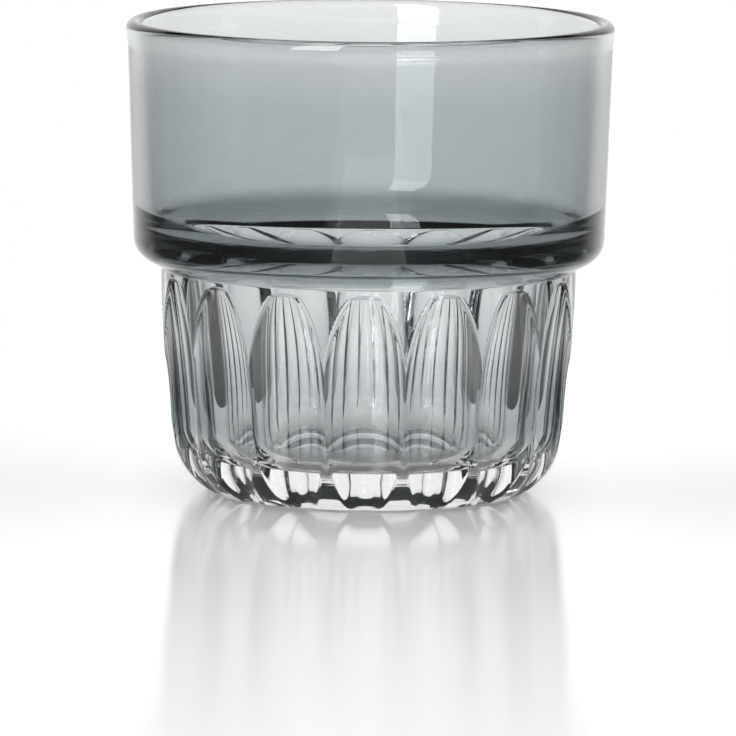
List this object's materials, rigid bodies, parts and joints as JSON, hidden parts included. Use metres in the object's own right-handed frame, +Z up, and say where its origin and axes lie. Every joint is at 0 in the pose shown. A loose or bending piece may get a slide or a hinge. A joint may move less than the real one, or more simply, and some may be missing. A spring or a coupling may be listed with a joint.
{
  "type": "faceted tumbler",
  "caption": "Stacking drinking tumbler in smoke-grey pressed glass: smooth flared bowl with a beaded rim, a stacking shoulder and a narrower fluted lower part.",
  "frame": {"origin": "centre of the foot, on the surface that the glass stands on", "axes": "+Z up along the glass's axis towards the rim; a flute's middle faces -Y, and another faces +X"},
  "size_m": [0.089, 0.089, 0.086],
  "materials": {
    "smoke_glass": "pressed and fire-polished, clear smoke grey"
  },
  "bodies": {
    "root": {"tumbler": "smoke_glass"}
  },
  "joints": []
}
